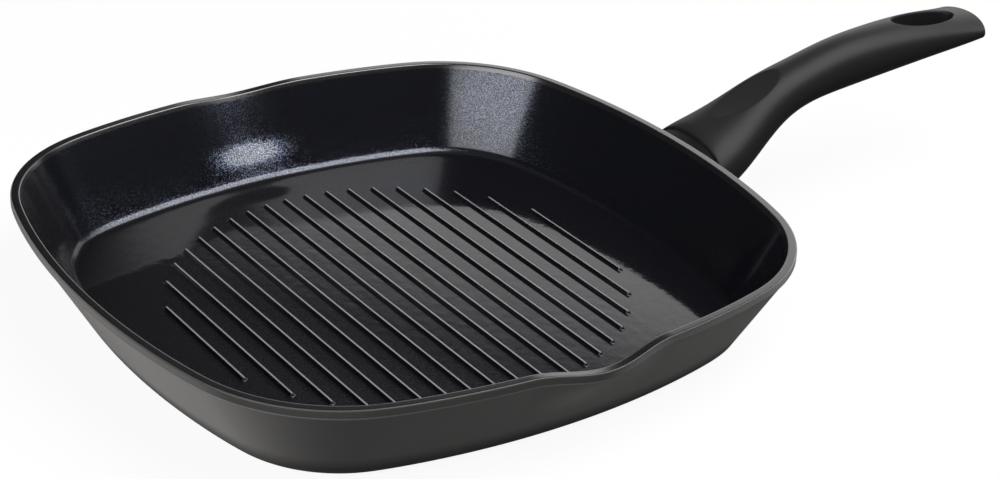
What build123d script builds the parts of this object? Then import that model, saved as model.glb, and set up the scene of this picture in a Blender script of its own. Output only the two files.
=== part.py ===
from build123d import *
import math
import os

os.makedirs("parts", exist_ok=True)

# Sizes of the pan, in millimetres, with the base standing on z = 0 and the handle along +X
pan_half_length = 140.0
pan_half_width = 137.5
side_arc_radius = 331.0
corner_radius = 69.0
pan_height = 40.0
band_height = 3.2
band_step = 0.4
wall_foot_inset = 21.4
foot_radius = 7.0
rim_width = 3.6
floor_inset = 22.0
floor_thickness = 3.8
floor_fillet = 5.0
rim_edge_radius = 0.6

# Sizes of the pouring lips
lip_bulge = 3.6
lip_half_chord = 30.0
lip_dip = 3.0
lip_plan_radius = 93.0
lip_fade_height = 32.0
lip_wall = 3.4
lip_cut_depth = 32.0

# Sizes of the ribs
rib_count = 19
rib_pitch = 9.77
rib_field_radius = 94.0
rib_width = 2.6
rib_height = 1.25
rib_draft = 18.0
rib_root_depth = 0.5
rib_top_radius = 0.55

# Sizes of the lug, its steel insert and the screw
boss_width = 24.0
boss_depth = 12.0
boss_corner = 4.0
boss_centre_height = 27.0
boss_root_depth = 20.0
boss_reach = 18.0
insert_diameter = 8.0
insert_length = 12.0
screw_diameter = 5.0
thread_clearance = 0.05
screw_tip_room = 3.0
screw_length = 19.0
screw_head_diameter = 9.0
screw_head_height = 3.6
screw_socket_across = 4.0
screw_socket_depth = 2.2
washer_thickness = 1.0
lock_washer_thickness = 1.2
washer_diameter = 10.0
lock_washer_diameter = 9.2
washer_bore = 5.4

# Sizes of the handle and the guard
handle_gap = 7.0
handle_length = 162.0
handle_tip_radius = 33.0
handle_tip_width = 50.0
tip_edge_radius = 1.0
socket_clearance = 0.3
socket_room = 0.5
seat_depth = 7.0
counterbore_diameter = 11.0
counterbore_reach = 30.0
shank_hole_diameter = 5.6
slot_setback = 30.0
slot_half_length = 18.0
slot_half_width = 7.4
slot_edge_radius = 1.0
dimple_setback = 32.6
dimple_height = 54.1
dimple_radius = 200.0
dimple_tilt = 24.5
guard_thickness = 1.0
guard_inset = 0.9
guard_skirt = 5.4

# Sizes of the plate in the base
plate_radius = 88.0
plate_thickness = 1.0
plate_hole_radius = 3.5
plate_rings = [(26.0, 6), (50.0, 12), (74.0, 18)]

overrun = 2.0


def tangent_angles():
    """Angles at which the two side arcs hand over to the corner arc, and the corner centre."""
    x_gap = pan_half_length - side_arc_radius
    y_gap = pan_half_width - side_arc_radius
    reach = side_arc_radius - corner_radius
    span = math.hypot(x_gap, y_gap)
    rise = math.sqrt(reach * reach - span * span / 4)
    centre_x = x_gap / 2 + rise * abs(y_gap) / span
    centre_y = y_gap / 2 + rise * abs(x_gap) / span
    first = math.degrees(math.atan2(centre_y, centre_x - x_gap))
    second = math.degrees(math.atan2(centre_y - y_gap, centre_x))
    return x_gap, y_gap, centre_x, centre_y, first, second


def rounded_square(inset):
    """Gives the edges of the rim outline moved inward by the given inset."""
    x_gap, y_gap, centre_x, centre_y, first, second = tangent_angles()
    side = side_arc_radius - inset
    corner = corner_radius - inset
    turn = second - first
    lean = 90 - second
    with BuildLine() as outline:
        CenterArc((x_gap, 0), side, -first, 2 * first)
        CenterArc((centre_x, centre_y), corner, first, turn)
        CenterArc((0, y_gap), side, second, 2 * lean)
        CenterArc((-centre_x, centre_y), corner, 180 - second, turn)
        CenterArc((-x_gap, 0), side, 180 - first, 2 * first)
        CenterArc((-centre_x, -centre_y), corner, 180 + first, turn)
        CenterArc((0, -y_gap), side, 180 + second, 2 * lean)
        CenterArc((centre_x, -centre_y), corner, -second, turn)
    return outline.edges()


def edge_inset(edge):
    """Distance of the middle of a rim edge inside the outline, by the radius of the arc it is on."""
    x_gap, y_gap, centre_x, centre_y, first, second = tangent_angles()
    middle = edge.position_at(0.5)
    bearing_x = math.degrees(math.atan2(abs(middle.Y), abs(middle.X) - x_gap))
    bearing_y = math.degrees(math.atan2(abs(middle.Y) - y_gap, abs(middle.X)))
    if bearing_x < first:
        return side_arc_radius - math.hypot(abs(middle.X) - x_gap, middle.Y)
    if bearing_y > second:
        return side_arc_radius - math.hypot(middle.X, abs(middle.Y) - y_gap)
    return corner_radius - math.hypot(abs(middle.X) - centre_x, abs(middle.Y) - centre_y)


# Places along the handle, measured from the rim
boss_root = pan_half_length - boss_root_depth
boss_end = pan_half_length + boss_reach
seat_position = boss_end + seat_depth
handle_start = pan_half_length + handle_gap
tip = handle_start + handle_length
slot_centre = tip - slot_setback
dimple_centre = handle_start + dimple_setback

# Slopes that follow from the sizes
wall_rise = pan_height - band_height
wall_taper = math.degrees(math.atan2(wall_foot_inset - band_step, wall_rise))
inside_rise = pan_height - floor_thickness
inside_taper = math.degrees(math.atan2(floor_inset - rim_width, inside_rise))
lip_slope = (wall_foot_inset - band_step) / wall_rise + lip_bulge / lip_fade_height
lip_centre = pan_half_width + lip_bulge - lip_plan_radius
lip_cone_foot = lip_plan_radius - lip_slope * lip_fade_height
dip_radius = (lip_half_chord * lip_half_chord + lip_dip * lip_dip) / (2 * lip_dip)
dip_height = pan_height - lip_dip + dip_radius

# Pan body: outside, inside, lips, ribs and the lug for the handle
with BuildPart() as pan_body:
    with BuildSketch(Plane.XY):
        make_face(rounded_square(wall_foot_inset))
    extrude(amount=wall_rise, taper=-wall_taper)
    foot_edges = pan_body.edges().group_by(Axis.Z)[0]
    fillet(foot_edges, radius=foot_radius)
    with BuildSketch(Plane.XY.offset(wall_rise)):
        make_face(rounded_square(0))
    extrude(amount=band_height)
    outer_rim = pan_body.edges().group_by(Axis.Z)[-1]
    fillet(outer_rim, radius=rim_edge_radius)
    with Locations((0, -lip_centre, pan_height - lip_fade_height), (0, lip_centre, pan_height - lip_fade_height)):
        Cone(lip_cone_foot, lip_plan_radius, lip_fade_height, align=(Align.CENTER, Align.CENTER, Align.MIN))
    with BuildSketch(Plane.YZ.offset(boss_root)):
        with Locations((0, boss_centre_height)):
            RectangleRounded(boss_width, boss_depth, boss_corner)
    extrude(amount=boss_end - boss_root)
    with BuildSketch(Plane.XY.offset(floor_thickness)):
        make_face(rounded_square(floor_inset))
    inside_top = inside_rise + overrun
    extrude(amount=inside_top, taper=-inside_taper, mode=Mode.SUBTRACT)
    floor_edges = pan_body.edges().filter_by_position(
        Axis.Z, floor_thickness - rim_edge_radius, floor_thickness + rim_edge_radius
    )
    fillet(floor_edges, radius=floor_fillet)
    top_edges = pan_body.edges().group_by(Axis.Z)[-1]
    inner_rim = ShapeList(edge for edge in top_edges if edge_inset(edge) > rim_width - rim_edge_radius)
    fillet(inner_rim, radius=rim_edge_radius)
    with Locations((0, -lip_centre, pan_height), (0, lip_centre, pan_height)):
        Cone(
            lip_cone_foot - lip_wall,
            lip_plan_radius - lip_wall,
            lip_fade_height,
            align=(Align.CENTER, Align.CENTER, Align.MAX),
            mode=Mode.SUBTRACT,
        )
    with BuildSketch(Plane.XZ.offset(pan_half_width - lip_cut_depth / 2)):
        with Locations((0, dip_height)):
            Circle(dip_radius)
    extrude(amount=lip_cut_depth, mode=Mode.SUBTRACT)
    with BuildSketch(Plane.XZ.offset(-pan_half_width + lip_cut_depth / 2)):
        with Locations((0, dip_height)):
            Circle(dip_radius)
    extrude(amount=-lip_cut_depth, mode=Mode.SUBTRACT)
    for rib in range(rib_count):
        across = (rib - (rib_count - 1) / 2) * rib_pitch
        half_rib = math.sqrt(rib_field_radius * rib_field_radius - across * across)
        with BuildSketch(Plane.XY.offset(floor_thickness - rib_root_depth)):
            with Locations((across, 0)):
                SlotOverall(2 * half_rib, rib_width, rotation=90)
        extrude(amount=rib_height + rib_root_depth, taper=rib_draft)
    rib_tops = pan_body.faces().filter_by(Axis.Z).filter_by_position(
        Axis.Z, floor_thickness + rib_height - rib_root_depth, floor_thickness + rib_height + rib_root_depth
    )
    fillet(rib_tops.edges(), radius=rib_top_radius)
    with BuildSketch(Plane.XY):
        Circle(plate_radius)
        for ring_radius, hole_count in plate_rings:
            with PolarLocations(ring_radius, hole_count):
                Circle(plate_hole_radius, mode=Mode.SUBTRACT)
    extrude(amount=plate_thickness, mode=Mode.SUBTRACT)
    with BuildSketch(Plane.YZ.offset(boss_end + overrun)):
        with Locations((0, boss_centre_height)):
            Circle(insert_diameter / 2)
    extrude(amount=-(insert_length + overrun), mode=Mode.SUBTRACT)
    with BuildSketch(Plane.YZ.offset(boss_end)):
        with Locations((0, boss_centre_height)):
            Circle(screw_diameter / 2)
    extrude(amount=-(insert_length + screw_tip_room), mode=Mode.SUBTRACT)
pan_body.part.label = "pan_body"
export_step(pan_body.part, "parts/pan_body.step")

# Plate pressed into the underside of the base, with the casting filling its holes
with BuildPart() as induction_plate:
    with BuildSketch(Plane.XY):
        Circle(plate_radius)
        for ring_radius, hole_count in plate_rings:
            with PolarLocations(ring_radius, hole_count):
                Circle(plate_hole_radius, mode=Mode.SUBTRACT)
    extrude(amount=plate_thickness)
induction_plate.part.label = "induction_plate"
export_step(induction_plate.part, "parts/induction_plate.step")

# Threaded insert held in the end of the lug
with BuildPart() as boss_insert:
    with BuildSketch(Plane.YZ.offset(boss_end)):
        with Locations((0, boss_centre_height)):
            Circle(insert_diameter / 2)
            Circle(screw_diameter / 2 + thread_clearance, mode=Mode.SUBTRACT)
    extrude(amount=-insert_length)
boss_insert.part.label = "boss_insert"
export_step(boss_insert.part, "parts/boss_insert.step")

# Stations of the handle: place along X, height, tilt in degrees, half thickness, half width
handle_stations = [
    (0.000, 25.5, 0.0, 15.0, 24.0),
    (0.067, 30.3, 20.0, 14.0, 22.0),
    (0.154, 38.0, 32.0, 12.4, 18.0),
    (0.253, 46.8, 26.0, 11.2, 14.0),
    (0.359, 52.5, 13.0, 10.5, 12.2),
    (0.481, 56.3, 8.0, 11.2, 12.2),
    (0.636, 59.0, 5.0, 11.0, 13.2),
    (0.821, 60.8, 2.0, 8.9, 14.8),
    (0.944, 61.2, 1.5, 6.4, 15.5),
    (1.000, 61.6, 3.0, 5.2, 15.9),
]

# Handle: one moulding with its socket, screw hollow, hanging slot and thumb dimple
with BuildPart() as handle:
    for share, height, tilt, half_thickness, half_width in handle_stations:
        station = Plane.YZ.offset(handle_start + share * handle_length)
        centre = Vector(station.origin.X, 0, height)
        lean_x = math.cos(math.radians(tilt))
        lean_z = math.sin(math.radians(tilt))
        section_plane = Plane(origin=centre, x_dir=(0, 1, 0), z_dir=(lean_x, 0, lean_z))
        with BuildSketch(section_plane):
            Ellipse(half_width, half_thickness)
    loft()
    with BuildSketch(Plane.XY.offset(-overrun)):
        with Locations((tip - handle_tip_radius, 0)):
            Rectangle(2 * handle_tip_radius, handle_tip_width, align=(Align.MIN, Align.CENTER))
            Circle(handle_tip_radius, mode=Mode.SUBTRACT)
    extrude(amount=3 * pan_height, mode=Mode.SUBTRACT)
    tip_edges = handle.edges().filter_by_position(Axis.X, tip - handle_tip_radius / 2, tip + overrun)
    fillet(tip_edges, radius=tip_edge_radius)
    with BuildSketch(Plane.XY.offset(pan_height)):
        with Locations((slot_centre, 0)):
            Ellipse(slot_half_length, slot_half_width)
    extrude(amount=2 * pan_height, mode=Mode.SUBTRACT)
    slot_end = slot_centre - slot_half_length
    slot_edges = handle.edges().filter_by_position(Axis.X, slot_end - overrun, slot_end + overrun)
    fillet(slot_edges, radius=slot_edge_radius)
    with Locations((dimple_centre, 0, dimple_height)):
        with Locations(Rotation(0, -dimple_tilt, 0)):
            with Locations((0, 0, dimple_radius)):
                Sphere(dimple_radius, mode=Mode.SUBTRACT)
    with BuildSketch(Plane.YZ.offset(handle_start - overrun)):
        with Locations((0, boss_centre_height)):
            socket_corner = boss_corner + socket_clearance
            RectangleRounded(boss_width + 2 * socket_clearance, boss_depth + 2 * socket_clearance, socket_corner)
    extrude(amount=boss_end + socket_room - handle_start + overrun, mode=Mode.SUBTRACT)
    with BuildSketch(Plane.YZ.offset(boss_end)):
        with Locations((0, boss_centre_height)):
            Circle(shank_hole_diameter / 2)
    extrude(amount=seat_position - boss_end + overrun, mode=Mode.SUBTRACT)
    with BuildSketch(Plane.YZ.offset(seat_position)):
        with Locations((0, boss_centre_height)):
            Circle(counterbore_diameter / 2)
    extrude(amount=counterbore_reach, mode=Mode.SUBTRACT)
handle.part.label = "handle"
export_step(handle.part, "parts/handle.step")

# Guard between the pan wall and the end of the handle
with BuildPart() as flame_guard:
    end_height = handle_stations[0][1]
    end_thickness = handle_stations[0][3]
    end_width = handle_stations[0][4]
    with BuildSketch(Plane.YZ.offset(handle_start - guard_thickness - guard_skirt)):
        with Locations((0, end_height)):
            Ellipse(end_width - guard_inset, end_thickness - guard_inset)
    extrude(amount=guard_thickness + guard_skirt)
    with BuildSketch(Plane.YZ.offset(handle_start - guard_thickness)):
        with Locations((0, end_height)):
            Ellipse(end_width - guard_inset - guard_thickness, end_thickness - guard_inset - guard_thickness)
    extrude(amount=-(guard_skirt + overrun), mode=Mode.SUBTRACT)
    with BuildSketch(Plane.YZ.offset(handle_start)):
        with Locations((0, boss_centre_height)):
            RectangleRounded(boss_width + 2 * socket_clearance, boss_depth + 2 * socket_clearance, socket_corner)
    extrude(amount=-(guard_thickness + overrun), mode=Mode.SUBTRACT)
flame_guard.part.label = "flame_guard"
export_step(flame_guard.part, "parts/flame_guard.step")

# Plain washer on the seat inside the handle
with BuildPart() as plain_washer:
    with BuildSketch(Plane.YZ.offset(seat_position)):
        with Locations((0, boss_centre_height)):
            Circle(washer_diameter / 2)
            Circle(washer_bore / 2, mode=Mode.SUBTRACT)
    extrude(amount=washer_thickness)
plain_washer.part.label = "plain_washer"
export_step(plain_washer.part, "parts/plain_washer.step")

# Split lock washer under the screw head
lock_washer_start = seat_position + washer_thickness
with BuildPart() as lock_washer:
    with BuildSketch(Plane.YZ.offset(lock_washer_start)):
        with Locations((0, boss_centre_height)):
            Circle(lock_washer_diameter / 2)
            Circle(washer_bore / 2, mode=Mode.SUBTRACT)
        with Locations((0, boss_centre_height - lock_washer_diameter / 2)):
            Rectangle(lock_washer_thickness, lock_washer_diameter, mode=Mode.SUBTRACT)
    extrude(amount=lock_washer_thickness)
lock_washer.part.label = "lock_washer"
export_step(lock_washer.part, "parts/lock_washer.step")

# Screw that pulls the handle on to the lug
head_start = lock_washer_start + lock_washer_thickness
with BuildPart() as handle_screw:
    with BuildSketch(Plane.YZ.offset(head_start)):
        with Locations((0, boss_centre_height)):
            Circle(screw_head_diameter / 2)
    extrude(amount=screw_head_height)
    head_rim = handle_screw.edges().group_by(Axis.X)[-1]
    fillet(head_rim, radius=rim_edge_radius)
    with BuildSketch(Plane.YZ.offset(head_start)):
        with Locations((0, boss_centre_height)):
            Circle(screw_diameter / 2)
    extrude(amount=-screw_length)
    with BuildSketch(Plane.YZ.offset(head_start + screw_head_height - screw_socket_depth)):
        with Locations((0, boss_centre_height)):
            RegularPolygon(screw_socket_across / 2, 6, major_radius=False)
    extrude(amount=screw_socket_depth + overrun, mode=Mode.SUBTRACT)
handle_screw.part.label = "handle_screw"
export_step(handle_screw.part, "parts/handle_screw.step")
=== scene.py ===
import bpy
import bmesh
import math
from mathutils import Matrix, Quaternion, Vector


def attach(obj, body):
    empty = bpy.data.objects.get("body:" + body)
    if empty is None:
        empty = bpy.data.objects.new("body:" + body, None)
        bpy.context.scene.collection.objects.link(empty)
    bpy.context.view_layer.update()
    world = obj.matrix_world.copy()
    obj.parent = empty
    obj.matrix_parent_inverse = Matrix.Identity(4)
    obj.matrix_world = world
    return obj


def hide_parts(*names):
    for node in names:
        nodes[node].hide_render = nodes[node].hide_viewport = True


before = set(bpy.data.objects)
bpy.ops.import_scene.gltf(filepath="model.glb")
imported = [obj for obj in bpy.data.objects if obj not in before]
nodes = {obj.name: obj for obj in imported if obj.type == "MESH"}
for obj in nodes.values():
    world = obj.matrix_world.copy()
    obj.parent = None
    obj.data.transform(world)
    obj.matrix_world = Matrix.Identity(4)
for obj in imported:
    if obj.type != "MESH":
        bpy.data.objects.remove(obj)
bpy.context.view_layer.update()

# PAN CASTING
# The square pan is one aluminium casting with a flared wall, a thick machined rim and a pouring
# lip pulled out of the middle of two sides. It has a dark ceramic coat inside and a satin grey
# coat outside, and a round recess in its base.
MM = 0.001
HALF_LENGTH = 140.0
HALF_WIDTH = 137.5
SIDE_ARC = 331.0
CORNER_ARC = 69.0
PAN_TOP = 40.0
FLOOR_TOP = 3.8
FLOOR_INSET = 22.0
FLOOR_FILLET = 5.0
FLOOR_RINGS = (60.0, 46.0, 38.0, 33.0, 30.0, 28.0)
RIM_WIDTH = 3.6
RIM_INNER_EDGE = 0.75
RIM_OUTER_EDGE = 0.6
EDGE_SUPPORT = 0.5
BAND_RINGS = (38.6, 37.6, 37.1)
BAND_FOOT = 36.8
BAND_FOOT_EDGE = 0.2
BAND_STEP = 0.4
WALL_START = (0.42, 36.76)
FOOT_INSET = 21.4
FOOT_ARC = 7.0


def rim_support():
    """Distance from the pan centre to the tangent of the rim, for each direction of its normal."""
    steps = 3600
    gap_x = HALF_LENGTH - SIDE_ARC
    gap_y = HALF_WIDTH - SIDE_ARC
    reach = SIDE_ARC - CORNER_ARC
    span = math.hypot(gap_x, gap_y)
    rise = math.sqrt(reach * reach - span * span / 4)
    corner_x = gap_x / 2 + rise * abs(gap_y) / span
    corner_y = gap_y / 2 + rise * abs(gap_x) / span
    first = math.atan2(corner_y, corner_x - gap_x)
    second = math.atan2(corner_y - gap_y, corner_x)
    raw = []
    for k in range(steps):
        turn = 2 * math.pi * k / steps
        c, s = abs(math.cos(turn)), abs(math.sin(turn))
        folded = math.atan2(s, c)
        if folded < first:
            raw.append(gap_x * c + SIDE_ARC)
        elif folded > second:
            raw.append(gap_y * s + SIDE_ARC)
        else:
            raw.append(corner_x * c + corner_y * s + CORNER_ARC)
    # The sides run into the corners without a visible joint
    spread = 22
    weights = [math.exp(-0.5 * (j / spread) ** 2) for j in range(-3 * spread, 3 * spread + 1)]
    total = sum(weights)
    soft = []
    for k in range(steps):
        soft.append(sum(w * raw[(k + j - 3 * spread) % steps] for j, w in enumerate(weights)) / total)
    lift_x = HALF_LENGTH - soft[0]
    lift_y = HALF_WIDTH - soft[steps // 4]
    for k in range(steps):
        turn = 2 * math.pi * k / steps
        soft[k] += lift_x * math.cos(turn) ** 2 + lift_y * math.sin(turn) ** 2
    return soft


def rim_stations(support, count):
    """Rim points with their outward normals, spaced evenly along the rim."""
    steps = len(support)
    step = 2 * math.pi / steps
    points = []
    for k in range(steps):
        turn = k * step
        slope = (support[(k + 1) % steps] - support[k - 1]) / (2 * step)
        c, s = math.cos(turn), math.sin(turn)
        points.append((support[k] * c - slope * s, support[k] * s + slope * c, turn))
    lengths = [0.0]
    for k in range(steps):
        x0, y0, _ = points[k]
        x1, y1, _ = points[(k + 1) % steps]
        lengths.append(lengths[-1] + math.hypot(x1 - x0, y1 - y0))
    stations = []
    at = 0
    for i in range(count):
        wanted = lengths[-1] * i / count
        while lengths[at + 1] < wanted:
            at += 1
        share = (wanted - lengths[at]) / (lengths[at + 1] - lengths[at])
        x0, y0, turn = points[at]
        x1, y1, _ = points[(at + 1) % steps]
        turn += share * step
        stations.append((x0 + share * (x1 - x0), y0 + share * (y1 - y0), math.cos(turn), math.sin(turn)))
    return stations


def arc(centre_inset, centre_height, radius, start, end, count):
    """Points (inset, height) of an arc. Angle 0 points inward, 90 degrees points up."""
    angles = [math.radians(start + (end - start) * k / count) for k in range(count + 1)]
    return [(centre_inset + radius * math.cos(a), centre_height + radius * math.sin(a)) for a in angles]


def line(start, end, count):
    """Points between two points of the profile, without its ends."""
    return [
        (start[0] + (end[0] - start[0]) * k / count, start[1] + (end[1] - start[1]) * k / count)
        for k in range(1, count)
    ]


def casting_profile():
    """The casting's section from the floor up the inside, over the rim and down the outside."""
    slope = math.atan2(PAN_TOP - FLOOR_TOP, FLOOR_INSET - RIM_WIDTH)
    half_turn = math.tan(slope / 2)
    slope = math.degrees(slope)
    inner = [(inset, FLOOR_TOP) for inset in FLOOR_RINGS]
    fillet_inset = FLOOR_INSET + FLOOR_FILLET * half_turn
    inner += arc(fillet_inset, FLOOR_TOP + FLOOR_FILLET, FLOOR_FILLET, 270, 270 - slope, 16)
    edge_inset = RIM_WIDTH - RIM_INNER_EDGE * half_turn
    rim = arc(edge_inset, PAN_TOP - RIM_INNER_EDGE, RIM_INNER_EDGE, 90 - slope, 90, 6)
    inner += line(inner[-1], rim[0], 22)
    rim += [(edge_inset - EDGE_SUPPORT, PAN_TOP), (RIM_OUTER_EDGE + EDGE_SUPPORT, PAN_TOP)]
    rim += arc(RIM_OUTER_EDGE, PAN_TOP - RIM_OUTER_EDGE, RIM_OUTER_EDGE, 90, 180, 6)
    rim += [(0.0, height) for height in BAND_RINGS]
    outer = arc(BAND_FOOT_EDGE, BAND_FOOT + BAND_FOOT_EDGE, BAND_FOOT_EDGE, 180, 270, 3)
    outer.append(WALL_START)
    lean = math.atan2(BAND_FOOT, FOOT_INSET - BAND_STEP)
    foot_inset = FOOT_INSET + FOOT_ARC * math.tan(lean / 2)
    foot = arc(foot_inset, FOOT_ARC, FOOT_ARC, 270 - math.degrees(lean), 270, 12)
    outer += line(outer[-1], foot[0], 26) + foot
    return inner, rim, outer


def smooth(value):
    """Soft step from 0 to 1."""
    value = max(0.0, min(1.0, value))
    return value * value * (3 - 2 * value)


LIP_REACH = 31.7
LIP_BULGE = 3.3
LIP_DIP = 3.0
LIP_FOOT = 4.0
LIP_BELLY = 10.0
LIP_BELLY_RISE = 10.5
LIP_BELLY_SHARE = 0.45
OUTER_LIP_FOOT = 6.0
OUTER_DIP_FOOT = 16.0
OUTER_DIP_RISE = 20.0


def lip_rise(height, inside):
    """How much of the lip's bulge and of its dip the wall has at a height, each from 0 to 1."""
    if inside:
        steady = max(0.0, (height - LIP_FOOT) / (PAN_TOP - LIP_FOOT))
        belly = smooth((height - LIP_BELLY) / LIP_BELLY_RISE)
        return LIP_BELLY_SHARE * belly + (1 - LIP_BELLY_SHARE) * steady, steady
    bulge = smooth((height - OUTER_LIP_FOOT) / (PAN_TOP - OUTER_LIP_FOOT))
    return bulge, smooth((height - OUTER_DIP_FOOT) / OUTER_DIP_RISE)


def casting_point(station, inset, height, inside):
    """A point of the casting, in metres, with the pouring lips pulled out and down."""
    x, y, normal_x, normal_y = station
    if abs(x) < LIP_REACH:
        share = 0.5 + 0.5 * math.cos(math.pi * x / LIP_REACH)
        bulge, dip = lip_rise(height, inside)
        inset -= LIP_BULGE * share * bulge
        height -= LIP_DIP * share * dip
    return ((x - inset * normal_x) * MM, (y - inset * normal_y) * MM, height * MM)


def bridge(faces, first, second, count):
    """Joins two rings of points with four-sided faces. Each ring is given by its first point."""
    for k in range(count):
        after = (k + 1) % count
        faces.append((first + k, first + after, second + after, second + k))


def fan(faces, ring, middle, count):
    """Closes a ring of points with triangles that meet at one point."""
    for k in range(count):
        faces.append((middle, ring + k, ring + (k + 1) % count))


def make_piece(name, verts, faces):
    """A smooth mesh object with outward normals."""
    mesh = bpy.data.meshes.new(name)
    mesh.from_pydata(verts, [], faces)
    shell = bmesh.new()
    shell.from_mesh(mesh)
    bmesh.ops.recalc_face_normals(shell, faces=shell.faces)
    shell.to_mesh(mesh)
    shell.free()
    mesh.polygons.foreach_set("use_smooth", [True] * len(mesh.polygons))
    piece = bpy.data.objects.new(name, mesh)
    bpy.context.scene.collection.objects.link(piece)
    return piece


# Places of the coats in the casting's list of materials
FLOOR_COAT, RIM_COAT, OUTSIDE_COAT, WALL_COAT, BAND_COAT = range(5)
RIM_FACE_ROWS = 10
OUTLINE_POINTS = 1152
stations = rim_stations(rim_support(), OUTLINE_POINTS)
inner, rim, outer = casting_profile()
profile = inner + rim + outer
pan_verts = []
for row, (inset, height) in enumerate(profile):
    pan_verts += [casting_point(station, inset, height, row < len(inner)) for station in stations]
pan_faces = []
pan_coats = []
for row in range(len(profile) - 1):
    bridge(pan_faces, row * OUTLINE_POINTS, (row + 1) * OUTLINE_POINTS, OUTLINE_POINTS)
    if row < len(FLOOR_RINGS):
        coat = FLOOR_COAT
    elif row < len(inner) - 1:
        coat = WALL_COAT
    elif row < len(inner) + RIM_FACE_ROWS:
        coat = RIM_COAT
    elif row < len(inner) + len(rim):
        coat = BAND_COAT
    else:
        coat = OUTSIDE_COAT
    pan_coats += [coat] * OUTLINE_POINTS

# The middle of the floor is closed by two smaller copies of its first ring and a fan
FLOOR_MIDDLE_SHARES = (0.66, 0.33)
floor_ring = 0
for share in FLOOR_MIDDLE_SHARES:
    start = len(pan_verts)
    pan_verts += [(x * share, y * share, z) for x, y, z in pan_verts[:OUTLINE_POINTS]]
    bridge(pan_faces, floor_ring, start, OUTLINE_POINTS)
    floor_ring = start
pan_verts.append((0.0, 0.0, FLOOR_TOP * MM))
fan(pan_faces, floor_ring, len(pan_verts) - 1, OUTLINE_POINTS)
pan_coats += [FLOOR_COAT] * OUTLINE_POINTS * (len(FLOOR_MIDDLE_SHARES) + 1)

# The underside has the round recess that the steel plate is pressed into
PLATE_RADIUS = 88.0
RECESS_DEPTH = 1.0
RECESS_RINGS = (
    (PLATE_RADIUS + 0.5, 0.0),
    (PLATE_RADIUS, 0.25),
    (PLATE_RADIUS, RECESS_DEPTH),
    (PLATE_RADIUS / 2, RECESS_DEPTH),
)
base_ring = (len(profile) - 1) * OUTLINE_POINTS
base_edge = pan_verts[base_ring:base_ring + OUTLINE_POINTS]
for radius, height in RECESS_RINGS:
    start = len(pan_verts)
    for x, y, _ in base_edge:
        reach = radius * MM / math.hypot(x, y)
        pan_verts.append((x * reach, y * reach, height * MM))
    bridge(pan_faces, base_ring, start, OUTLINE_POINTS)
    base_ring = start
pan_verts.append((0.0, 0.0, RECESS_DEPTH * MM))
fan(pan_faces, base_ring, len(pan_verts) - 1, OUTLINE_POINTS)
pan_coats += [OUTSIDE_COAT] * OUTLINE_POINTS * (len(RECESS_RINGS) + 1)

pan = make_piece("pan_casting", pan_verts, pan_faces)
pan.data.polygons.foreach_set("material_index", pan_coats)


def new_material(name):
    """A node material with only its shader and its output."""
    material = bpy.data.materials.new(name)
    material.use_nodes = True
    tree = material.node_tree
    tree.nodes.clear()
    output = tree.nodes.new("ShaderNodeOutputMaterial")
    shader = tree.nodes.new("ShaderNodeBsdfPrincipled")
    tree.links.new(shader.outputs["BSDF"], output.inputs["Surface"])
    return material, tree, shader


def place_texture(tree, kind, scale, **settings):
    """A texture node that reads the piece's own coordinates, in metres."""
    coordinates = tree.nodes.new("ShaderNodeTexCoord")
    node = tree.nodes.new(kind)
    for key, value in settings.items():
        setattr(node, key, value)
    node.inputs["Scale"].default_value = scale
    tree.links.new(coordinates.outputs["Object"], node.inputs["Vector"])
    return node


def height_above_base(tree):
    """The height of the point, in metres."""
    coordinates = tree.nodes.new("ShaderNodeTexCoord")
    axes = tree.nodes.new("ShaderNodeSeparateXYZ")
    tree.links.new(coordinates.outputs["Object"], axes.inputs[0])
    return axes.outputs["Z"]


def ramp(tree, source, low, high, low_value, high_value):
    """Maps a value from one range to another."""
    node = tree.nodes.new("ShaderNodeMapRange")
    node.inputs["From Min"].default_value = low
    node.inputs["From Max"].default_value = high
    node.inputs["To Min"].default_value = low_value
    node.inputs["To Max"].default_value = high_value
    tree.links.new(source, node.inputs["Value"])
    return node.outputs["Result"]


def maths(tree, kind, operation, *values):
    """One sum on values that are each a number, a vector or the output of another node."""
    node = tree.nodes.new(kind)
    node.operation = operation
    for place, value in enumerate(values):
        if isinstance(value, bpy.types.NodeSocket):
            tree.links.new(value, node.inputs[place])
        else:
            node.inputs[place].default_value = value
    return node.outputs[0]


def blend_colours(tree, factor, first, second):
    """Mixes two colours by a value. Each is a colour or the output of another node."""
    node = tree.nodes.new("ShaderNodeMix")
    node.data_type = "RGBA"
    tree.links.new(factor, node.inputs[0])
    for place, colour in ((6, first), (7, second)):
        if isinstance(colour, bpy.types.NodeSocket):
            tree.links.new(colour, node.inputs[place])
        else:
            node.inputs[place].default_value = (*colour, 1)
    return node.outputs[2]


def bump(tree, source, strength, distance, normal=None):
    """A bump from a height value."""
    node = tree.nodes.new("ShaderNodeBump")
    node.inputs["Strength"].default_value = strength
    node.inputs["Distance"].default_value = distance
    tree.links.new(source, node.inputs["Height"])
    if normal is not None:
        tree.links.new(normal, node.inputs["Normal"])
    return node.outputs["Normal"]


def patchy_colour(tree, scale, dark, light):
    """A colour that drifts between two near ones, in soft patches."""
    return blend_colours(tree, place_texture(tree, "ShaderNodeTexNoise", scale).outputs["Fac"], dark, light)


def fine_grain(tree, shader, scale, smoothest, roughest, strength, depth):
    """Gives the surface a fine grain in its gloss and in its relief, and returns the relief."""
    grain = place_texture(tree, "ShaderNodeTexNoise", scale).outputs["Fac"]
    tree.links.new(ramp(tree, grain, 0.3, 0.7, smoothest, roughest), shader.inputs["Roughness"])
    relief = bump(tree, grain, strength, depth)
    tree.links.new(relief, shader.inputs["Normal"])
    return relief


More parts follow.
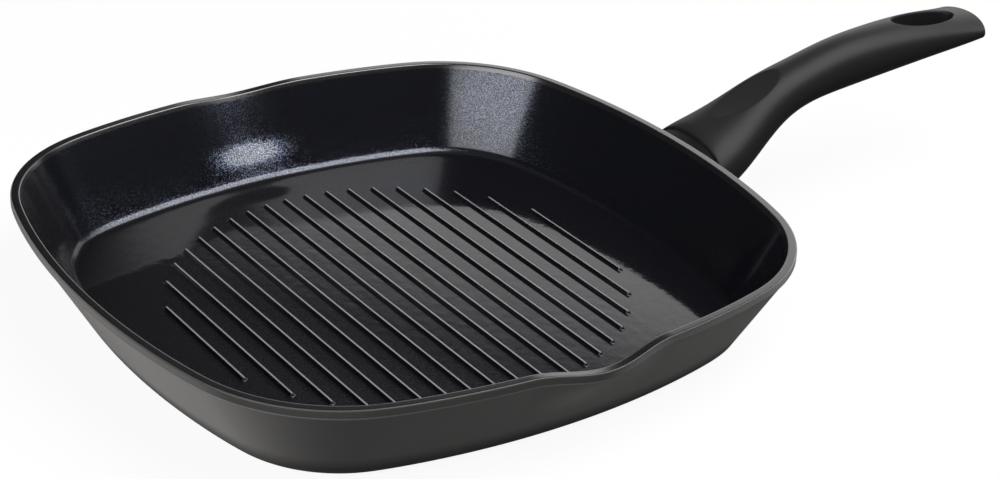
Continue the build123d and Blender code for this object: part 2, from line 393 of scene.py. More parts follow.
def seen_edge_on(tree):
    """A value that is 0 where the surface faces the eye and 1 where it is seen edge-on, for painted sheen
    and flakes.
    """
    weight = tree.nodes.new("ShaderNodeLayerWeight")
    weight.inputs["Blend"].default_value = 0.5
    return weight.outputs["Facing"]


def painted_sheen_colour(tree, plain, sheen, start, end):
    """A lighter colour painted where the surface is seen edge-on, as a painted sheen."""
    return blend_colours(tree, ramp(tree, seen_edge_on(tree), start, end, 0.0, 1.0), plain, sheen)


# The ceramic coat is a dark ground full of fine metal flakes, under a clear glaze. The flakes lie
# nearly flat high on the wall, and at odder angles on the floor and low on the wall.
FLAKE_SCALE = 5000.0
FLAKE_LEAN_LOW = 0.25
FLAKE_LEAN_HIGH = 0.07
COAT_GROUND = (0.0034, 0.0033, 0.0052)
FLAKE_METAL = (0.200, 0.232, 0.320)
GLAZE_RIPPLE_SCALE = 210.0


def flake_coat(name, glaze, glaze_roughness, amount):
    """A black coat with blue-grey flakes that glitter, each leaning its own way."""
    material, tree, shader = new_material(name)
    height = height_above_base(tree)
    cells = place_texture(tree, "ShaderNodeTexVoronoi", FLAKE_SCALE).outputs["Color"]
    lean = maths(tree, "ShaderNodeVectorMath", "SUBTRACT", cells, (0.5, 0.5, 0.5))
    steepness = ramp(tree, height, 0.006, 0.026, FLAKE_LEAN_LOW, FLAKE_LEAN_HIGH)
    lean = maths(tree, "ShaderNodeVectorMath", "MULTIPLY", lean, steepness)
    skin = tree.nodes.new("ShaderNodeNewGeometry").outputs["Normal"]
    leaning = maths(tree, "ShaderNodeVectorMath", "ADD", skin, lean)
    flake_normal = maths(tree, "ShaderNodeVectorMath", "NORMALIZE", leaning)
    tree.links.new(flake_normal, shader.inputs["Normal"])
    parts = tree.nodes.new("ShaderNodeSeparateColor")
    tree.links.new(cells, parts.inputs[0])
    # Only some cells hold a flake, and a flat flake stops glittering when it is seen edge-on
    is_flake = ramp(tree, parts.outputs[2], 0.55, 0.85, 0.0, 1.0)
    glitter = ramp(tree, seen_edge_on(tree), 0.30, 0.52, 1.0, 0.03)
    flake = maths(tree, "ShaderNodeMath", "MULTIPLY", is_flake, glitter)
    share = ramp(tree, height, 0.007, 0.020, 0.36 * amount, 0.44 * amount)
    flake = maths(tree, "ShaderNodeMath", "MULTIPLY", flake, share)
    tree.links.new(blend_colours(tree, flake, COAT_GROUND, FLAKE_METAL), shader.inputs["Base Color"])
    tree.links.new(ramp(tree, flake, 0.0, 0.06, 0.0, 0.97), shader.inputs["Metallic"])
    tree.links.new(ramp(tree, flake, 0.0, 0.10, 0.40, 0.15), shader.inputs["Roughness"])
    shader.inputs["Specular IOR Level"].default_value = 0.05
    shader.inputs["Coat Weight"].default_value = glaze
    shader.inputs["Coat Roughness"].default_value = glaze_roughness
    shader.inputs["Coat IOR"].default_value = 1.5
    ripple = place_texture(tree, "ShaderNodeTexNoise", GLAZE_RIPPLE_SCALE)
    ripple.inputs["Detail"].default_value = 4.0
    tree.links.new(bump(tree, ripple.outputs["Fac"], 0.30, 0.0001), shader.inputs["Coat Normal"])
    return material


floor_coat = flake_coat("floor_flake_coat", 1.0, 0.055, 0.35)
wall_coat = flake_coat("wall_flake_coat", 0.80, 0.12, 1.0)

# The rim has the same black coat without its flakes
rim_coat, tree, shader = new_material("rim_black_coat")
rim_colour = patchy_colour(tree, 45.0, (0.004, 0.004, 0.005), (0.007, 0.007, 0.008))
tree.links.new(rim_colour, shader.inputs["Base Color"])
fine_grain(tree, shader, 1800.0, 0.16, 0.22, 0.06, 0.00006)
shader.inputs["Specular IOR Level"].default_value = 1.0
shader.inputs["IOR"].default_value = 1.6

# The outside has a satin grey coat, with painted shade that darkens it towards the foot
satin_coat, tree, shader = new_material("outside_satin_coat")
grey = patchy_colour(tree, 30.0, (0.072, 0.070, 0.069), (0.088, 0.085, 0.084))
# Painted sheen: a much lighter grey where the outside is seen edge-on
grey = painted_sheen_colour(tree, grey, (0.40, 0.392, 0.382), 0.52, 0.86)
# Painted shade: the colour turns near black over the lowest 11 mm of the outside
painted_foot_shade = ramp(tree, height_above_base(tree), 0.0, 0.011, 0.0, 1.0)
grey = blend_colours(tree, painted_foot_shade, (0.016, 0.0155, 0.015), grey)
tree.links.new(grey, shader.inputs["Base Color"])
fine_grain(tree, shader, 1500.0, 0.40, 0.50, 0.12, 0.0001)
shader.inputs["Specular IOR Level"].default_value = 0.22

# The turned band under the rim edge has a darker copy of the outside coat, as painted shade
band_shaded_coat, tree, shader = new_material("band_painted_shade_coat")
grey = patchy_colour(tree, 35.0, (0.038, 0.037, 0.036), (0.050, 0.048, 0.047))
# Painted sheen: a lighter grey where the band is seen edge-on
grey = painted_sheen_colour(tree, grey, (0.24, 0.235, 0.23), 0.30, 0.70)
tree.links.new(grey, shader.inputs["Base Color"])
fine_grain(tree, shader, 1700.0, 0.42, 0.52, 0.10, 0.0001)

for coat in (floor_coat, rim_coat, satin_coat, wall_coat, band_shaded_coat):
    pan.data.materials.append(coat)
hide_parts("pan_body")
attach(pan, "root")

# GRILL RIBS
# Nineteen straight ribs are cast in one with the floor and carry the same coat, with a lighter
# grey satin colour on their crests. Each is narrow, with rounded shoulders and a round end, and
# together they fill a circle.
RIB_COUNT = 19
RIB_PITCH = 9.77
RIB_FIELD = 94.0
RIB_END_INSET = 1.7
RIB_SECTION = (
    (0.12, 1.250), (0.24, 1.243), (0.36, 1.222), (0.47, 1.175), (0.57, 1.095), (0.65, 0.990),
    (0.72, 0.860), (0.78, 0.700), (0.84, 0.520), (0.90, 0.360), (0.98, 0.220), (1.10, 0.105),
    (1.26, 0.035), (1.45, 0.005), (1.60, -0.020),
)
RIB_END_STEPS = 16
RIB_AROUND = 2 * (RIB_END_STEPS + 1)
CREST_RINGS = 3
FLANK_COAT, CREST_COAT = range(2)
rib_verts = []
rib_faces = []
rib_coats = []
for rib in range(RIB_COUNT):
    across = (rib - (RIB_COUNT - 1) / 2) * RIB_PITCH
    half = math.sqrt(RIB_FIELD ** 2 - across ** 2) - RIB_END_INSET
    for index, (away, height) in enumerate(RIB_SECTION):
        start = len(rib_verts)
        for end in (1, -1):
            for k in range(RIB_END_STEPS + 1):
                angle = math.pi * k / RIB_END_STEPS
                x = across + end * away * math.cos(angle)
                y = end * (half + away * math.sin(angle))
                rib_verts.append((x * MM, y * MM, (FLOOR_TOP + height) * MM))
        if index:
            bridge(rib_faces, start - RIB_AROUND, start, RIB_AROUND)
            rib_coats += [CREST_COAT if index < CREST_RINGS else FLANK_COAT] * RIB_AROUND
        else:
            rib_faces.append(tuple(range(start, start + RIB_AROUND)))
            rib_coats.append(CREST_COAT)
ribs = make_piece("grill_ribs", rib_verts, rib_faces)
ribs.data.polygons.foreach_set("material_index", rib_coats)
crest_coat, tree, shader = new_material("rib_crest_satin")
crest_colour = patchy_colour(tree, 60.0, (0.165, 0.165, 0.175), (0.225, 0.225, 0.236))
tree.links.new(crest_colour, shader.inputs["Base Color"])
fine_grain(tree, shader, 2200.0, 0.30, 0.42, 0.10, 0.00006)
ribs.data.materials.append(floor_coat)
ribs.data.materials.append(crest_coat)
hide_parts("pan_body")
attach(ribs, "root")

# HANDLE LUG
# A short bar with round corners stands out of the wall under the rim, cast in one with the pan.
# It carries the handle, so it has a small fillet at its root and a bore for the steel insert.
LUG_HALF = (12.0, 6.0)
LUG_CORNER = 4.0
LUG_HEIGHT = 27.0
LUG_WALL_TOP = 36.5
LUG_END = 158.0
LUG_ROOT = ((2.2, 0.0), (1.1, 0.5), (0.45, 1.2), (0.1, 2.2), (0.0, 3.2))
LUG_TIP = ((0.0, 0.5), (0.15, 0.15), (0.5, 0.0))
BORE_RADIUS = 4.0
INSERT_LENGTH = 12.0
SCREW_TIP_ROOM = 3.0


def round_bar(half_width, half_depth, corner, steps=8):
    """Outline of a bar with round corners, as (across, up) from its centre."""
    outline = []
    for quarter, (side, rise) in enumerate(((1, 1), (-1, 1), (-1, -1), (1, -1))):
        for k in range(steps + 1):
            angle = math.radians(90 * quarter + 90 * k / steps)
            across = side * (half_width - corner) + corner * math.cos(angle)
            outline.append((across, rise * (half_depth - corner) + corner * math.sin(angle)))
    return outline


def wall_places(height):
    """How far the middle and the outside of the pan wall are from the pan centre, along X."""
    climb = (height - FLOOR_TOP) / (PAN_TOP - FLOOR_TOP)
    inside = HALF_LENGTH - RIM_WIDTH - (FLOOR_INSET - RIM_WIDTH) * (1 - climb)
    outside = HALF_LENGTH - FOOT_INSET * (1 - height / BAND_FOOT)
    return (inside + outside) / 2, outside


def lug_point(x, across, up):
    """A point beside the lug's centre line, in metres."""
    return (x * MM, across * MM, (LUG_HEIGHT + up) * MM)


lug_verts = []
for across, up in round_bar(*LUG_HALF, LUG_CORNER):
    middle, _ = wall_places(min(LUG_HEIGHT + up, LUG_WALL_TOP))
    lug_verts.append(lug_point(middle, across, up))
for spread, ahead in LUG_ROOT:
    for across, up in round_bar(LUG_HALF[0] + spread, LUG_HALF[1] + spread, LUG_CORNER + spread):
        _, outside = wall_places(min(LUG_HEIGHT + up, LUG_WALL_TOP))
        lug_verts.append(lug_point(outside + ahead, across, up))
for shrink, behind in LUG_TIP:
    for across, up in round_bar(LUG_HALF[0] - shrink, LUG_HALF[1] - shrink, LUG_CORNER - shrink):
        lug_verts.append(lug_point(LUG_END - behind, across, up))
bore_end = LUG_END - INSERT_LENGTH - SCREW_TIP_ROOM
for x in (LUG_END, bore_end):
    for across, up in round_bar(*LUG_HALF, LUG_CORNER):
        angle = math.atan2(up, across)
        lug_verts.append(lug_point(x, BORE_RADIUS * math.cos(angle), BORE_RADIUS * math.sin(angle)))
lug_around = len(round_bar(*LUG_HALF, LUG_CORNER))
lug_faces = [tuple(reversed(range(lug_around)))]
for row in range(len(lug_verts) // lug_around - 1):
    bridge(lug_faces, row * lug_around, (row + 1) * lug_around, lug_around)
lug_verts.append(lug_point(bore_end, 0.0, 0.0))
fan(lug_faces, len(lug_verts) - 1 - lug_around, len(lug_verts) - 1, lug_around)
lug = make_piece("handle_lug", lug_verts, lug_faces)
lug.data.materials.append(satin_coat)
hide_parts("pan_body")
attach(lug, "root")

# FIXING PEGS
# Pegs of the casting's own aluminium fill the holes in the steel plate. The press that drives the
# plate into the soft base squeezes them up to its face, and they are left bare.
PEG_RINGS = ((26.0, 6), (50.0, 12), (74.0, 18))
PEG_PROFILE = ((3.5, 1.0), (3.5, 0.18), (3.44, 0.06), (3.28, 0.01), (3.0, 0.02), (1.6, 0.10), (0.6, 0.12))
PEG_AROUND = 32
peg_verts = []
peg_faces = []
for ring_radius, peg_count in PEG_RINGS:
    for index in range(peg_count):
        turn = 2 * math.pi * index / peg_count
        centre_x, centre_y = ring_radius * math.cos(turn), ring_radius * math.sin(turn)
        peg_faces.append(tuple(len(peg_verts) + k for k in reversed(range(PEG_AROUND))))
        for row, (radius, height) in enumerate(PEG_PROFILE):
            start = len(peg_verts)
            for k in range(PEG_AROUND):
                angle = 2 * math.pi * k / PEG_AROUND
                x = centre_x + radius * math.cos(angle)
                y = centre_y + radius * math.sin(angle)
                peg_verts.append((x * MM, y * MM, height * MM))
            if row:
                bridge(peg_faces, start - PEG_AROUND, start, PEG_AROUND)
        peg_faces.append(tuple(start + k for k in range(PEG_AROUND)))
pegs = make_piece("fixing_pegs", peg_verts, peg_faces)
peg_metal, tree, shader = new_material("pressed_aluminium")
shader.inputs["Metallic"].default_value = 1.0
peg_colour = patchy_colour(tree, 120.0, (0.50, 0.50, 0.50), (0.62, 0.61, 0.60))
tree.links.new(peg_colour, shader.inputs["Base Color"])
fine_grain(tree, shader, 1300.0, 0.38, 0.55, 0.25, 0.00008)
pegs.data.materials.append(peg_metal)
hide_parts("pan_body")
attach(pegs, "root")

# INDUCTION PLATE
# A round sheet of magnetic stainless steel is pressed into the base. It is turned flat after
# pressing, which leaves fine rings around its centre.


def worn_metal(name, dark, light, smoothest, roughest, grain_scale, ring_scale=0.0):
    """Bare steel with fine scratches, and with turned rings around the Z axis when asked."""
    material, tree, shader = new_material(name)
    shader.inputs["Metallic"].default_value = 1.0
    tree.links.new(patchy_colour(tree, 60.0, dark, light), shader.inputs["Base Color"])
    relief = fine_grain(tree, shader, grain_scale, smoothest, roughest, 0.12, 0.00005)
    if ring_scale:
        pattern = {"wave_type": "RINGS", "rings_direction": "Z"}
        rings = place_texture(tree, "ShaderNodeTexWave", ring_scale, **pattern)
        rings.inputs["Distortion"].default_value = 0.6
        rings.inputs["Detail"].default_value = 3.0
        tree.links.new(bump(tree, rings.outputs["Fac"], 0.18, 0.00005, relief), shader.inputs["Normal"])
    return material


def refinish(node, material):
    """Gives a CAD piece that stays its own finish."""
    nodes[node].data.materials.clear()
    nodes[node].data.materials.append(material)


PLATE_DARK = (0.40, 0.40, 0.40)
PLATE_LIGHT = (0.54, 0.53, 0.52)
plate_steel = worn_metal("turned_plate_steel", PLATE_DARK, PLATE_LIGHT, 0.26, 0.40, 700.0, 260.0)
refinish("induction_plate", plate_steel)

# LUG INSERT
# A threaded plug of turned steel is driven into the bore of the lug, flush with its end, because
# a thread cut in the soft casting would strip.
insert_steel = worn_metal("insert_turned_steel", (0.38, 0.37, 0.35), (0.50, 0.48, 0.46), 0.24, 0.36, 1800.0)
refinish("boss_insert", insert_steel)

# FLAME GUARD
# A collar of thin sheet sits round the lug between the pan and the handle, and keeps the hob's
# heat off the moulding. It has a dull black heat-resistant coat, painted darker still as painted
# shade in the gap between the pan and the handle.
guard_black_and_shade, tree, shader = new_material("guard_black_and_painted_shade")
grain = place_texture(tree, "ShaderNodeTexNoise", 1600.0).outputs["Fac"]
# The black coat is painted darker still, as painted shade
guard_colour = blend_colours(tree, grain, (0.0022, 0.0022, 0.0022), (0.0040, 0.0040, 0.0040))
tree.links.new(guard_colour, shader.inputs["Base Color"])
tree.links.new(ramp(tree, grain, 0.3, 0.7, 0.55, 0.7), shader.inputs["Roughness"])
shader.inputs["Specular IOR Level"].default_value = 0.08
refinish("flame_guard", guard_black_and_shade)

# HANDLE
# One black phenolic moulding slides over the lug. It is oval, thick at the pan and flat at its
# tip, with a shallow thumb dimple on top, a hanging slot through the tip and a round hollow
# underneath for the screw.
HANDLE_START = 147.0
HANDLE_TIP = 309.0
TIP_ARC = 33.0
TIP_ARC_START = 285.0
END_ROUNDING = 1.1
# Each station is its place along X, the height of its middle, its tilt, and half its thickness and width
HANDLE_STATIONS = (
    (147.0, 25.5, 0.0, 15.0, 24.0),
    (157.9, 30.3, 20.0, 14.0, 22.0),
    (172.0, 38.0, 32.0, 12.4, 18.0),
    (188.0, 46.8, 26.0, 11.2, 14.0),
    (205.1, 52.5, 13.0, 10.5, 12.2),
    (225.0, 56.3, 8.0, 11.2, 12.2),
    (250.0, 59.0, 5.0, 11.0, 13.2),
    (280.0, 60.8, 2.0, 8.9, 14.8),
    (300.0, 61.2, 1.5, 6.4, 15.5),
    (309.0, 61.6, 3.0, 5.2, 15.9),
)
MIDDLE, TILT, HALF_THICK, HALF_WIDE = range(1, 5)
# Towards its tip the oval section grows a little squarer
SQUARENESS = 0.05
SQUARE_START = 185.0
SQUARE_RUN = 60.0
DIMPLE_TILT = math.radians(24.5)
DIMPLE_RADIUS = 130.0
DIMPLE_DEPTH = 1.0
DIMPLE_PLACE = (179.6, 54.1)
DIMPLE_EDGE = 0.05
dimple_back = DIMPLE_RADIUS - DIMPLE_DEPTH
dimple_x = DIMPLE_PLACE[0] - dimple_back * math.sin(DIMPLE_TILT)
dimple_z = DIMPLE_PLACE[1] + dimple_back * math.cos(DIMPLE_TILT)


def spline_bends(column):
    """Second derivatives of the natural cubic spline through one column of the stations."""
    xs = [row[0] for row in HANDLE_STATIONS]
    ys = [row[column] for row in HANDLE_STATIONS]
    n = len(xs)
    step = [xs[i + 1] - xs[i] for i in range(n - 1)]
    upper, diagonal, target = [0.0] * n, [1.0] * n, [0.0] * n
    for i in range(1, n - 1):
        factor = step[i - 1] / diagonal[i - 1]
        diagonal[i] = 2 * (step[i - 1] + step[i]) - factor * upper[i - 1]
        upper[i] = step[i]
        target[i] = 6 * ((ys[i + 1] - ys[i]) / step[i] - (ys[i] - ys[i - 1]) / step[i - 1])
        target[i] -= factor * target[i - 1]
    bends = [0.0] * n
    for i in range(n - 2, 0, -1):
        bends[i] = (target[i] - upper[i] * bends[i + 1]) / diagonal[i]
    return bends


handle_bends = {column: spline_bends(column) for column in (MIDDLE, TILT, HALF_THICK, HALF_WIDE)}


def along_handle(column, x):
    """A size of the handle at a place along X, from the smooth curve through the stations."""
    i = 0
    while i < len(HANDLE_STATIONS) - 2 and x > HANDLE_STATIONS[i + 1][0]:
        i += 1
    before, after = HANDLE_STATIONS[i], HANDLE_STATIONS[i + 1]
    bends = handle_bends[column]
    h = after[0] - before[0]
    a, b = (after[0] - x) / h, (x - before[0]) / h
    curve = (a ** 3 - a) * bends[i] + (b ** 3 - b) * bends[i + 1]
    return a * before[column] + b * after[column] + curve * h * h / 6


def tip_setback(y):
    """How far the rounded tip lies behind its foremost point, at a distance from the middle."""
    return TIP_ARC - math.sqrt(TIP_ARC ** 2 - y * y)


def handle_point(x, angle, shrink):
    """A point of the handle's skin, in metres, with the rounded tip and the thumb dimple."""
    centre_z = along_handle(MIDDLE, x)
    tilt = math.radians(along_handle(TILT, x))
    thick = along_handle(HALF_THICK, x) - shrink
    wide = along_handle(HALF_WIDE, x) - shrink
    corner = 1 + SQUARENESS * smooth((x - SQUARE_START) / SQUARE_RUN)
    c, s = math.cos(angle), math.sin(angle)
    y = wide * math.copysign(abs(c) ** (1 / corner), c)
    up = thick * math.copysign(abs(s) ** (1 / corner), s)
    fade = max(0.0, (x - TIP_ARC_START) / (HANDLE_TIP - TIP_ARC_START))
    place_x = x - up * math.sin(tilt) - fade * fade * tip_setback(y)
    place_z = centre_z + up * math.cos(tilt)
    # The dimple is a large ball pressed into the top, with a slightly rounded edge
    dx, dz = place_x - dimple_x, place_z - dimple_z
    away = math.sqrt(dx * dx + y * y + dz * dz)
    gap = (DIMPLE_RADIUS - away) / DIMPLE_EDGE
    if place_z > centre_z and gap > -8:
        push = DIMPLE_EDGE * (math.log1p(math.exp(gap)) if gap < 30 else gap) / away
        place_x += dx * push
        y += y * push
        place_z += dz * push
    return (place_x * MM, y * MM, place_z * MM)


quarter = [math.radians(15 * k) for k in range(7)]
straight = HANDLE_TIP - HANDLE_START - 2 * END_ROUNDING
STRAIGHT_ROWS = 330
handle_rows = []
for a in quarter:
    handle_rows.append((HANDLE_START + END_ROUNDING * (1 - math.cos(a)), END_ROUNDING * (1 - math.sin(a))))
for k in range(1, STRAIGHT_ROWS):
    handle_rows.append((HANDLE_START + END_ROUNDING + straight * k / STRAIGHT_ROWS, 0.0))
for a in quarter:
    handle_rows.append((HANDLE_TIP - END_ROUNDING * (1 - math.sin(a)), END_ROUNDING * (1 - math.cos(a))))
HANDLE_AROUND = 160
TIP_FACE_SHARES = (0.75, 0.5, 0.25)
_, tip_height, tip_tilt, tip_thick, tip_wide = HANDLE_STATIONS[-1]
handle_verts = [(HANDLE_START * MM, 0.0, HANDLE_STATIONS[0][MIDDLE] * MM)]
for x, shrink in handle_rows:
    for k in range(HANDLE_AROUND):
        handle_verts.append(handle_point(x, 2 * math.pi * k / HANDLE_AROUND, shrink))
for share in TIP_FACE_SHARES:
    for k in range(HANDLE_AROUND):
        angle = 2 * math.pi * k / HANDLE_AROUND
        y = (tip_wide - END_ROUNDING) * share * math.cos(angle)
        up = (tip_thick - END_ROUNDING) * share * math.sin(angle)
        x = HANDLE_TIP - up * math.sin(math.radians(tip_tilt)) - tip_setback(y)
        handle_verts.append((x * MM, y * MM, (tip_height + up) * MM))
handle_verts.append((HANDLE_TIP * MM, 0.0, tip_height * MM))
handle_faces = []
fan(handle_faces, 1, 0, HANDLE_AROUND)
for row in range(len(handle_rows) + len(TIP_FACE_SHARES) - 1):
    bridge(handle_faces, 1 + row * HANDLE_AROUND, 1 + (row + 1) * HANDLE_AROUND, HANDLE_AROUND)
fan(handle_faces, len(handle_verts) - 1 - HANDLE_AROUND, len(handle_verts) - 1, HANDLE_AROUND)
handle = make_piece("handle_grip", handle_verts, handle_faces)


def cut(piece, cutter):
    """Cuts one shape out of a piece and removes the cutter."""
    modifier = piece.modifiers.new("cut", "BOOLEAN")
    modifier.operation = "DIFFERENCE"
    modifier.solver = "MANIFOLD"
    modifier.object = cutter
    graph = bpy.context.evaluated_depsgraph_get()
    result = bpy.data.meshes.new_from_object(piece.evaluated_get(graph))
    piece.modifiers.clear()
    old = piece.data
    piece.data = result
    bpy.data.meshes.remove(old)
    mesh = cutter.data
    bpy.data.objects.remove(cutter)
    bpy.data.meshes.remove(mesh)


# The hanging slot is an oval hole with rounded edges that follow the handle's skin
SLOT_CENTRE = 279.0
SLOT_HALF = (18.0, 7.4)
SLOT_EDGE = 1.3
SLOT_EDGE_ANGLES = (78, 62, 46, 30, 15, 0)
SLOT_FLARE = 3.0
SLOT_POINT = 5.0
SLOT_AROUND = 96
slot_lip = []
for degrees in SLOT_EDGE_ANGLES:
    a = math.radians(degrees)
    slot_lip.append((SLOT_EDGE * (1 - math.cos(a)), SLOT_EDGE * (math.sin(a) - 1)))
flare = math.radians(SLOT_EDGE_ANGLES[0])
lip_out, lip_up = slot_lip[0]
slot_lip.insert(0, (lip_out + SLOT_FLARE * math.sin(flare), lip_up + SLOT_FLARE * math.cos(flare)))
slot_rings = [(1, out, rise) for out, rise in slot_lip]
slot_rings += [(-1, out, rise) for out, rise in reversed(slot_lip)]
slot_verts = []
for side, out, rise in slot_rings:
    for k in range(SLOT_AROUND):
        angle = 2 * math.pi * k / SLOT_AROUND
        c, s = math.cos(angle), math.sin(angle)
        wall_x = SLOT_CENTRE + SLOT_HALF[0] * c
        across = SLOT_HALF[1] * s / along_handle(HALF_WIDE, wall_x)
        skin = along_handle(HALF_THICK, wall_x) * math.sqrt(max(0.0, 1 - across ** 2))
        z = along_handle(MIDDLE, wall_x) + side * (skin + rise)
        slot_verts.append(((wall_x + out * c) * MM, (SLOT_HALF[1] + out) * s * MM, z * MM))
slot_faces = []
for row in range(len(slot_rings) - 1):
    bridge(slot_faces, row * SLOT_AROUND, (row + 1) * SLOT_AROUND, SLOT_AROUND)
for row, upward in ((0, 1), (len(slot_rings) - 1, -1)):
    start = row * SLOT_AROUND
    level = sum(z for _, _, z in slot_verts[start:start + SLOT_AROUND]) / SLOT_AROUND
    slot_verts.append((SLOT_CENTRE * MM, 0.0, level + upward * SLOT_POINT * MM))
    fan(slot_faces, start, len(slot_verts) - 1, SLOT_AROUND)
cut(handle, make_piece("slot_cutter", slot_verts, slot_faces))


def rod(name, outline, start, end):
    """A straight bar along X, closed at both ends, from an outline around the lug's centre line."""
    size = len(outline)
    verts = [lug_point(x, across, up) for x in (start, end) for across, up in outline]
    faces = [tuple(reversed(range(size))), tuple(range(size, 2 * size))]
    bridge(faces, 0, size, size)
    return make_piece(name, verts, faces)


# The socket fits the lug, and the screw's shank and head each have a round way in from behind
SOCKET_CLEARANCE = 0.3
SOCKET_END_GAP = 0.5
SHANK_HOLE_RADIUS = 2.8
HEAD_HOLE_RADIUS = 5.5
SCREW_SEAT = 7.0
HEAD_HOLE_LENGTH = 30.0
CUT_OVERRUN = 2.0
SHANK_OVERRUN = 0.5
circle = [(math.cos(math.pi * k / 24), math.sin(math.pi * k / 24)) for k in range(48)]
socket_half = (LUG_HALF[0] + SOCKET_CLEARANCE, LUG_HALF[1] + SOCKET_CLEARANCE)
socket = round_bar(*socket_half, LUG_CORNER + SOCKET_CLEARANCE)
shank = [(SHANK_HOLE_RADIUS * c, SHANK_HOLE_RADIUS * s) for c, s in circle]
head = [(HEAD_HOLE_RADIUS * c, HEAD_HOLE_RADIUS * s) for c, s in circle]
seat = LUG_END + SCREW_SEAT
cut(handle, rod("socket_cutter", socket, HANDLE_START - CUT_OVERRUN, LUG_END + SOCKET_END_GAP))
cut(handle, rod("shank_cutter", shank, LUG_END, seat + SHANK_OVERRUN))
cut(handle, rod("counterbore_cutter", head, seat, seat + HEAD_HOLE_LENGTH))
phenolic, tree, shader = new_material("black_phenolic")
black = patchy_colour(tree, 40.0, (0.0125, 0.0120, 0.0122), (0.0170, 0.0165, 0.0166))
# Painted sheen: a lighter black where the handle is seen edge-on
black = painted_sheen_colour(tree, black, (0.060, 0.058, 0.057), 0.62, 0.98)
tree.links.new(black, shader.inputs["Base Color"])
fine_grain(tree, shader, 1400.0, 0.37, 0.45, 0.15, 0.0001)
shader.inputs["Specular IOR Level"].default_value = 0.18
handle.data.materials.clear()
handle.data.materials.append(phenolic)
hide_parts("handle")
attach(handle, "root")

# WASHERS
# A plain washer spreads the screw's load on the seat inside the handle. The split washer on top
# of it keeps the screw tight. The plain one is zinc-plated and the split one is spring steel.
zinc = worn_metal("zinc_plated_steel", (0.46, 0.47, 0.48), (0.60, 0.60, 0.59), 0.30, 0.45, 1500.0)
refinish("plain_washer", zinc)
spring_steel = worn_metal("spring_steel", (0.30, 0.30, 0.31), (0.42, 0.42, 0.42), 0.32, 0.46, 1700.0)
refinish("lock_washer", spring_steel)

# HANDLE SCREW
# A socket-head screw of turned steel pulls the handle on to the lug. Its head sits deep in the
# round hole on the underside of the handle.
screw_steel = worn_metal("screw_steel", (0.42, 0.42, 0.43), (0.56, 0.56, 0.55), 0.22, 0.36, 2000.0)
refinish("handle_screw", screw_steel)

# STAGE
# A plain sheet of white paper lies under the pan and fills the picture. It takes the pan's soft
# shadow, and it is dark to the pan itself, so that the underside stays in shade.
FLOOR_HALF = 3.0
FLOOR_DROP = 0.0006
PAPER_GLOW = 0.92
corners = ((-1, -1), (1, -1), (1, 1), (-1, 1))
paper_verts = [(x * FLOOR_HALF, y * FLOOR_HALF, -FLOOR_DROP) for x, y in corners]
floor_mesh = bpy.data.meshes.new("studio_floor")
floor_mesh.from_pydata(paper_verts, [], [(0, 1, 2, 3)])
floor = bpy.data.objects.new("studio_floor", floor_mesh)
bpy.context.scene.collection.objects.link(floor)
paper, tree, shader = new_material("studio_paper")
shader.inputs["Roughness"].default_value = 0.9
seen = tree.nodes.new("ShaderNodeLightPath").outputs["Is Camera Ray"]
paper_colour = blend_colours(tree, seen, (0.05, 0.05, 0.05), (0.8, 0.8, 0.8))
tree.links.new(paper_colour, shader.inputs["Base Color"])
glow = tree.nodes.new("ShaderNodeEmission")
glow.inputs["Strength"].default_value = 1.0
blend = tree.nodes.new("ShaderNodeMixShader")
tree.links.new(ramp(tree, seen, 0.0, 1.0, 0.0, PAPER_GLOW), blend.inputs["Fac"])
tree.links.new(shader.outputs["BSDF"], blend.inputs[1])
tree.links.new(glow.outputs["Emission"], blend.inputs[2])
tree.links.new(blend.outputs["Shader"], tree.nodes["Material Output"].inputs["Surface"])
floor_mesh.materials.append(paper)

# LIGHT
# The room is white to the eye and dim to the pan, a little brighter overhead. A window at the
# side, a long softbox overhead and a lit wall behind give the pan its highlights.
ROOM_LEVEL = 0.035
CEILING_LEVEL = 0.16
scene = bpy.context.scene
world = bpy.data.worlds.new("studio_world")
scene.world = world
world.use_nodes = True
tree = world.node_tree
background = tree.nodes["Background"]
background.inputs["Color"].default_value = (1, 1, 1, 1)
compass = tree.nodes.new("ShaderNodeTexCoord")
axes = tree.nodes.new("ShaderNodeSeparateXYZ")
tree.links.new(compass.outputs["Generated"], axes.inputs[0])
room = ramp(tree, axes.outputs["Z"], 0.70, 0.82, ROOM_LEVEL, CEILING_LEVEL)
seen = tree.nodes.new("ShaderNodeLightPath").outputs["Is Camera Ray"]
tree.links.new(maths(tree, "ShaderNodeMath", "MAXIMUM", seen, room), background.inputs["Strength"])


def softbox(name, azimuth, elevation, distance, width, height, radiance, roll=0.0):
    """A flat studio light that faces the pan. Azimuth is from +Y towards +X."""
    lamp = bpy.data.lights.new(name, "AREA")
    lamp.shape = "RECTANGLE"
    lamp.size = width
    lamp.size_y = height
    lamp.energy = radiance * math.pi * width * height
    box = bpy.data.objects.new(name, lamp)
    a, e = math.radians(azimuth), math.radians(elevation)
    towards = Vector((math.sin(a) * math.cos(e), math.cos(a) * math.cos(e), math.sin(e)))
    box.location = towards * distance + Vector((0, 0, 0.01))
    box.rotation_mode = "QUATERNION"
    box.rotation_quaternion = towards.to_track_quat("Z", "Y") @ Quaternion((0, 0, 1), math.radians(roll))
    box.visible_camera = False
    scene.collection.objects.link(box)
    return box


def soften(box, right, left, bottom, top):
    """Fades a light out towards its edges, each by a share of its width or height."""
    lamp = box.data
    lamp.use_nodes = True
    tree = lamp.node_tree
    geometry = tree.nodes.new("ShaderNodeNewGeometry")
    sides = tree.nodes.new("ShaderNodeSeparateXYZ")
    tree.links.new(geometry.outputs["Parametric"], sides.inputs[0])
    level = 1.0
    for axis, low, high in ((0, right, left), (1, bottom, top)):
        for start, end in ((0.0, low), (1.0, 1.0 - high)):
            edge = ramp(tree, sides.outputs[axis], start, end, 0.0, 1.0)
            edge.node.interpolation_type = "SMOOTHSTEP"
            level = maths(tree, "ShaderNodeMath", "MULTIPLY", level, edge)
    tree.links.new(level, tree.nodes["Emission"].inputs["Strength"])


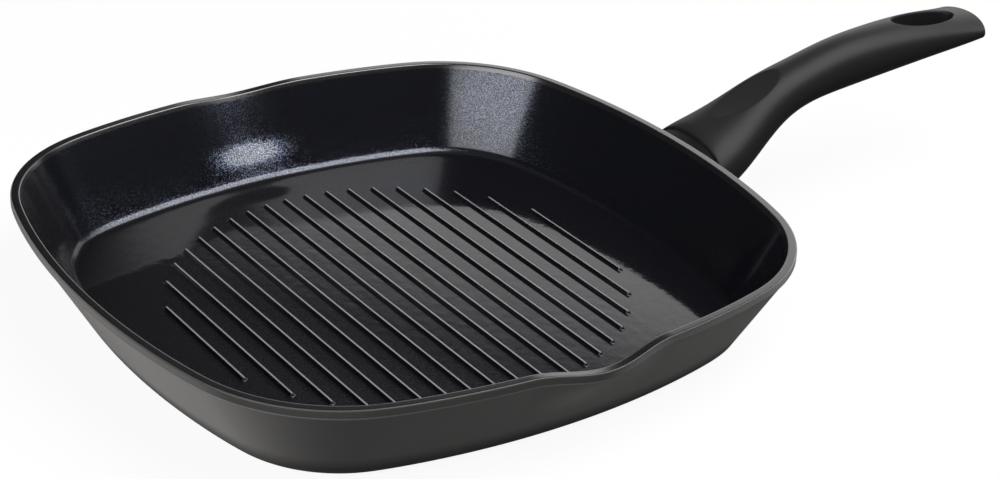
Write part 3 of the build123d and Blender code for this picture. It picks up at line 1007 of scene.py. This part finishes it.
window = softbox("side_window", -110, 25, 1.3, 1.9, 1.12, 3.4)
soften(window, 0.14, 0.14, 0.05, 0.27)
OVERHEAD_SHIFT = Vector((0.07, 0.13, 0))
overhead = softbox("overhead", 115, 50, 1.3, 1.06, 2.10, 5.6, 48)
overhead.location += overhead.rotation_quaternion @ OVERHEAD_SHIFT
soften(overhead, 0.04, 0.04, 0.55, 0.06)

# The wall behind is upright and two metres away. It is lit low down and fades towards its left
# and its top, which slants down to the left.
WALL_AZIMUTH = 50
WALL_DISTANCE = 2.0
WALL_LEFT, WALL_RIGHT = -1.15, 1.40
WALL_BOTTOM, WALL_TOP = 0.10, 1.34
WALL_LEVEL = 1.26
WALL_SLANT = -9
wall_size = (WALL_RIGHT - WALL_LEFT, WALL_TOP - WALL_BOTTOM)
back_wall = softbox("back_wall", WALL_AZIMUTH, 0, WALL_DISTANCE, *wall_size, WALL_LEVEL, WALL_SLANT)
wall_turn = math.radians(WALL_AZIMUTH)
ahead = Vector((math.sin(wall_turn), math.cos(wall_turn), 0)) * WALL_DISTANCE
aside = Vector((math.cos(wall_turn), -math.sin(wall_turn), 0)) * (WALL_LEFT + WALL_RIGHT) / 2
back_wall.location = ahead + aside + Vector((0, 0, (WALL_BOTTOM + WALL_TOP) / 2))
soften(back_wall, 0.02, 0.235, 0.02, 0.19)

# CAMERA
# The camera stands in front of the pan and to its left, a little under a metre away, and looks
# down at it through a long lens. It leans a little to one side.
CAMERA_AZIMUTH = math.radians(-35.518)
CAMERA_ELEVATION = math.radians(26.961)
CAMERA_ROLL = math.radians(2.604)
CAMERA_DISTANCE = 0.915816
CAMERA_AIM = Vector((0.039223, -0.01385, 0.022575))
level_share = math.cos(CAMERA_ELEVATION)
back = Vector((
    math.sin(CAMERA_AZIMUTH) * level_share,
    -math.cos(CAMERA_AZIMUTH) * level_share,
    math.sin(CAMERA_ELEVATION),
))
right = (-back).cross(Vector((0, 0, 1))).normalized()
up = right.cross(-back)
camera_x = right * math.cos(CAMERA_ROLL) + up * math.sin(CAMERA_ROLL)
camera_y = up * math.cos(CAMERA_ROLL) - right * math.sin(CAMERA_ROLL)
camera_data = bpy.data.cameras.new("camera")
camera_data.sensor_width = 36.0
camera_data.lens = 81.51
camera = bpy.data.objects.new("camera", camera_data)
scene.collection.objects.link(camera)
pose = Matrix((camera_x, camera_y, back)).transposed().to_4x4()
pose.translation = CAMERA_AIM + back * CAMERA_DISTANCE
camera.matrix_world = pose
scene.camera = camera
scene.view_settings.view_transform = "Standard"
